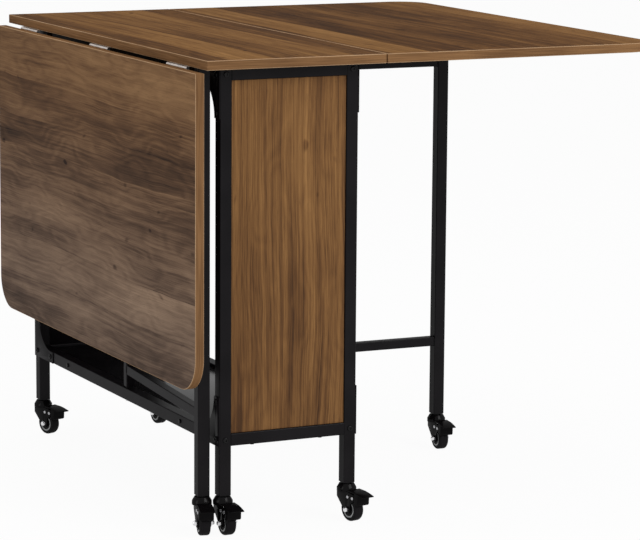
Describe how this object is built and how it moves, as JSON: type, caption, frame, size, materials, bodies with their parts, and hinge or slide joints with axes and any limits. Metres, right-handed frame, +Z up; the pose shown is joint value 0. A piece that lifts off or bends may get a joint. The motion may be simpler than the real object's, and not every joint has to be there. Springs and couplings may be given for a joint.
{
  "type": "folding dining table",
  "caption": "Folding dining table: narrow wheeled centre frame with shelf and end panels, drop leaves on hinges, and swinging gate legs that carry the raised leaves.",
  "frame": {"origin": "middle of the table's overall length and width, on the floor, with the right leaf up and the left leaf down", "axes": "+Y along the top from its near end to its far end, +Z up, +X from the hanging leaf towards the raised leaf"},
  "size_m": [0.837, 0.8992, 0.76],
  "materials": {
    "walnut_board": "Walnut-look melamine on wood board, satin, with a lighter brown edge band",
    "frame_black": "Black powder coat, fine satin texture",
    "bolt_black": "Black oxide screw heads, a little smoother than the frame",
    "black_board": "Black laminate with a soft shine",
    "hinge_steel": "Bright zinc-plated sheet steel, lightly brushed",
    "zinc_steel": "Bright zinc or nickel plate on turned steel",
    "black_nylon": "Moulded black nylon",
    "caster_black": "Black electro-coated pressed steel, semi-gloss",
    "caster_tyre": "Black wheel with a hard rubber tread",
    "pedal_black": "Moulded black plastic, faint shine"
  },
  "bodies": {
    "table_frame": {"centre_top": "walnut_board", "near_left_post": "frame_black", "near_right_post": "frame_black", "far_left_post": "frame_black", "far_right_post": "frame_black", "near_end_rails": "frame_black", "far_end_rails": "frame_black", "left_side_rails": "frame_black", "right_side_rails": "frame_black", "corner_plates": "frame_black", "near_end_panel": "walnut_board", "far_end_panel": "walnut_board", "shelf": "black_board", "frame_bolts": "bolt_black", "end_screws": "bolt_black", "board_screws": "bolt_black", "top_hinge_plates": "hinge_steel", "hinge_pins": "zinc_steel", "caster_stems": "bolt_black", "tube_inserts": "black_nylon", "pivot_pins": "zinc_steel", "pivot_washers": "black_nylon"},
    "left_leaf_body": {"left_leaf": "walnut_board", "left_leaf_hinge_plates": "hinge_steel"},
    "right_leaf_body": {"right_leaf": "walnut_board", "right_leaf_hinge_plates": "hinge_steel"},
    "left_gate": {"gate_left_leg": "frame_black", "gate_left_post": "frame_black", "gate_left_bars": "frame_black", "gate_left_plugs": "black_nylon", "gate_left_stem": "bolt_black"},
    "right_gate": {"gate_right_leg": "frame_black", "gate_right_post": "frame_black", "gate_right_bars": "frame_black", "gate_right_plugs": "black_nylon", "gate_right_stem": "bolt_black"},
    "near_left_caster": {"near_left_fork": "caster_black", "near_left_axle": "zinc_steel"},
    "near_left_roller": {"near_left_wheel": "caster_tyre"},
    "near_left_brake": {"near_left_pedal": "pedal_black"},
    "near_right_caster": {"near_right_fork": "caster_black", "near_right_axle": "zinc_steel"},
    "near_right_roller": {"near_right_wheel": "caster_tyre"},
    "near_right_brake": {"near_right_pedal": "pedal_black"},
    "far_left_caster": {"far_left_fork": "caster_black", "far_left_axle": "zinc_steel"},
    "far_left_roller": {"far_left_wheel": "caster_tyre"},
    "far_left_brake": {"far_left_pedal": "pedal_black"},
    "far_right_caster": {"far_right_fork": "caster_black", "far_right_axle": "zinc_steel"},
    "far_right_roller": {"far_right_wheel": "caster_tyre"},
    "far_right_brake": {"far_right_pedal": "pedal_black"},
    "gate_left_caster": {"gate_left_fork": "caster_black", "gate_left_axle": "zinc_steel"},
    "gate_left_roller": {"gate_left_wheel": "caster_tyre"},
    "gate_left_brake": {"gate_left_pedal": "pedal_black"},
    "gate_right_caster": {"gate_right_fork": "caster_black", "gate_right_axle": "zinc_steel"},
    "gate_right_roller": {"gate_right_wheel": "caster_tyre"},
    "gate_right_brake": {"gate_right_pedal": "pedal_black"}
  },
  "joints": [
    {"name": "left_leaf_hinge", "type": "hinge", "parent": "table_frame", "child": "left_leaf_body", "pos_m": [-0.4, 0.00962, 0.7415], "axis": [0, 1, 0], "range_deg": [0, 90]},
    {"name": "right_leaf_hinge", "type": "hinge", "parent": "table_frame", "child": "right_leaf_body", "pos_m": [-0.087, 0.00962, 0.7415], "axis": [0, 1, 0], "range_deg": [-5.5, 0]},
    {"name": "left_gate_swing", "type": "hinge", "parent": "table_frame", "child": "left_gate", "pos_m": [-0.3535, -0.00238, 0.142], "axis": [0, 0, -1], "range_deg": [-0.1, 1]},
    {"name": "right_gate_swing", "type": "hinge", "parent": "table_frame", "child": "right_gate", "pos_m": [-0.1335, 0.02162, 0.142], "axis": [0, 0, 1], "range_deg": [0, 86]},
    {"name": "near_left_swivel", "type": "hinge", "parent": "table_frame", "child": "near_left_caster", "pos_m": [-0.3535, -0.39138, 0.054], "axis": [0, 0, 1], "range_deg": [-3, 165]},
    {"name": "near_left_roll", "type": "hinge", "parent": "near_left_caster", "child": "near_left_roller", "pos_m": [-0.3535, -0.40738, 0.02], "axis": [1, 0, 0], "continuous": true},
    {"name": "near_left_pedal_press", "type": "hinge", "parent": "near_left_caster", "child": "near_left_brake", "pos_m": [-0.3535, -0.42138, 0.0405], "axis": [1, 0, 0], "range_deg": [0, 5]},
    {"name": "near_right_swivel", "type": "hinge", "parent": "table_frame", "child": "near_right_caster", "pos_m": [-0.1335, -0.39138, 0.054], "axis": [0, 0, 1], "continuous": true},
    {"name": "near_right_roll", "type": "hinge", "parent": "near_right_caster", "child": "near_right_roller", "pos_m": [-0.13045, -0.40708, 0.02], "axis": [0.9816, 0.1908, 0], "continuous": true},
    {"name": "near_right_pedal_press", "type": "hinge", "parent": "near_right_caster", "child": "near_right_brake", "pos_m": [-0.12778, -0.42083, 0.0405], "axis": [0.9816, 0.1908, 0], "range_deg": [0, 5]},
    {"name": "far_left_swivel", "type": "hinge", "parent": "table_frame", "child": "far_left_caster", "pos_m": [-0.3535, 0.41062, 0.054], "axis": [0, 0, 1], "continuous": true},
    {"name": "far_left_roll", "type": "hinge", "parent": "far_left_caster", "child": "far_left_roller", "pos_m": [-0.34829, 0.39549, 0.02], "axis": [0.9455, 0.3256, 0], "continuous": true},
    {"name": "far_left_pedal_press", "type": "hinge", "parent": "far_left_caster", "child": "far_left_brake", "pos_m": [-0.34373, 0.38226, 0.0405], "axis": [0.9455, 0.3256, 0], "range_deg": [0, 5]},
    {"name": "far_right_swivel", "type": "hinge", "parent": "table_frame", "child": "far_right_caster", "pos_m": [-0.1335, 0.41062, 0.054], "axis": [0, 0, 1], "continuous": true},
    {"name": "far_right_roll", "type": "hinge", "parent": "far_right_caster", "child": "far_right_roller", "pos_m": [-0.13183, 0.39471, 0.02], "axis": [0.9945, 0.1045, 0], "continuous": true},
    {"name": "far_right_pedal_press", "type": "hinge", "parent": "far_right_caster", "child": "far_right_brake", "pos_m": [-0.13036, 0.38079, 0.0405], "axis": [0.9945, 0.1045, 0], "range_deg": [0, 5]},
    {"name": "gate_left_swivel", "type": "hinge", "parent": "left_gate", "child": "gate_left_caster", "pos_m": [-0.3847, -0.37938, 0.054], "axis": [0, 0, 1], "range_deg": [-190, 2]},
    {"name": "gate_left_roll", "type": "hinge", "parent": "gate_left_caster", "child": "gate_left_roller", "pos_m": [-0.38857, -0.3949, 0.02], "axis": [0.9703, -0.2419, 0], "continuous": true},
    {"name": "gate_left_pedal_press", "type": "hinge", "parent": "gate_left_caster", "child": "gate_left_brake", "pos_m": [-0.39196, -0.40849, 0.0405], "axis": [0.9703, -0.2419, 0], "range_deg": [0, 5]},
    {"name": "gate_right_swivel", "type": "hinge", "parent": "right_gate", "child": "gate_right_caster", "pos_m": [0.24466, 0.01172, 0.054], "axis": [0, 0, 1], "range_deg": [-250, 95]},
    {"name": "gate_right_roll", "type": "hinge", "parent": "gate_right_caster", "child": "gate_right_roller", "pos_m": [0.24382, -0.00426, 0.02], "axis": [0.9986, -0.0523, 0], "continuous": true},
    {"name": "gate_right_pedal_press", "type": "hinge", "parent": "gate_right_caster", "child": "gate_right_brake", "pos_m": [0.24309, -0.01824, 0.0405], "axis": [0.9986, -0.0523, 0], "range_deg": [0, 5]}
  ]
}
